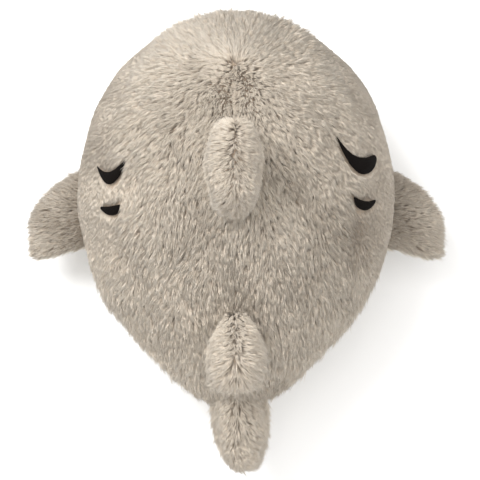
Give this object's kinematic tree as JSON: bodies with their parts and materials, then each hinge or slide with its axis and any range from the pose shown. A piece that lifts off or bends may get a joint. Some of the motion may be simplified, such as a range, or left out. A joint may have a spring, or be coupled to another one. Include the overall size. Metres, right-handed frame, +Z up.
{
  "type": "plush shark",
  "caption": "Round-bodied plush shark lying on its belly, with a soft dorsal fin, side fins and a two-lobed tail that bend at their seams.",
  "frame": {"origin": "on the floor, at the centre of the toy's outline seen from above", "axes": "+Y from the nose to the tail, +X to the animal's left side, +Z up"},
  "size_m": [0.359, 0.387, 0.281],
  "materials": {
    "grey_plush": "long soft pile",
    "belly_plush": "short soft pile",
    "fibre_fill": "loose fibre",
    "eye_plastic": "gloss",
    "washer_plastic": "matte",
    "black_embroidery": "satin stitch",
    "seam_thread": "twisted thread",
    "label_fabric": "woven satin"
  },
  "bodies": {
    "body": {"back_panel_left": "grey_plush", "back_panel_right": "grey_plush", "belly_panel": "belly_plush", "body_stuffing": "fibre_fill", "eye_left": "eye_plastic", "eye_right": "eye_plastic", "eye_washer_left": "washer_plastic", "eye_washer_right": "washer_plastic", "gill_left_front": "black_embroidery", "gill_left_rear": "black_embroidery", "gill_right_front": "black_embroidery", "gill_right_rear": "black_embroidery", "mouth_stitch": "black_embroidery", "back_seam_thread": "seam_thread", "side_seam_thread_left": "seam_thread", "side_seam_thread_right": "seam_thread", "closing_stitch": "seam_thread", "care_label": "label_fabric"},
    "dorsal_fin": {"dorsal_cover_left": "grey_plush", "dorsal_cover_right": "grey_plush", "dorsal_stuffing": "fibre_fill"},
    "pectoral_left": {"pectoral_left_upper_cover": "grey_plush", "pectoral_left_lower_cover": "belly_plush", "pectoral_left_stuffing": "fibre_fill"},
    "pectoral_right": {"pectoral_right_upper_cover": "grey_plush", "pectoral_right_lower_cover": "belly_plush", "pectoral_right_stuffing": "fibre_fill"},
    "tail_upper": {"tail_upper_cover_left": "grey_plush", "tail_upper_cover_right": "grey_plush", "tail_upper_stuffing": "fibre_fill"},
    "tail_lower": {"tail_lower_cover_left": "grey_plush", "tail_lower_cover_right": "grey_plush", "tail_lower_stuffing": "fibre_fill"}
  },
  "joints": [
    {"name": "dorsal_lean", "type": "hinge", "parent": "body", "child": "dorsal_fin", "pos_m": [0, -0.0295, 0.22499], "axis": [0, 1, 0], "range_deg": [-40, 40], "stiffness_Nm_per_rad": 0.12},
    {"name": "pectoral_left_flap", "type": "hinge", "parent": "body", "child": "pectoral_left", "pos_m": [0.12458, -0.0295, 0.0697], "axis": [0, -1, 0], "range_deg": [-20, 40], "stiffness_Nm_per_rad": 0.12},
    {"name": "pectoral_right_flap", "type": "hinge", "parent": "body", "child": "pectoral_right", "pos_m": [-0.12458, -0.0295, 0.0697], "axis": [0, 1, 0], "range_deg": [-20, 40], "stiffness_Nm_per_rad": 0.12},
    {"name": "tail_upper_lean", "type": "hinge", "parent": "body", "child": "tail_upper", "pos_m": [0, 0.0975, 0.17005], "axis": [0, 0.7484, -0.6633], "range_deg": [-40, 40], "stiffness_Nm_per_rad": 0.12},
    {"name": "tail_lower_swing", "type": "hinge", "parent": "body", "child": "tail_lower", "pos_m": [0, 0.1535, 0.092], "axis": [0, 0, 1], "range_deg": [-30, 30], "stiffness_Nm_per_rad": 0.12}
  ]
}
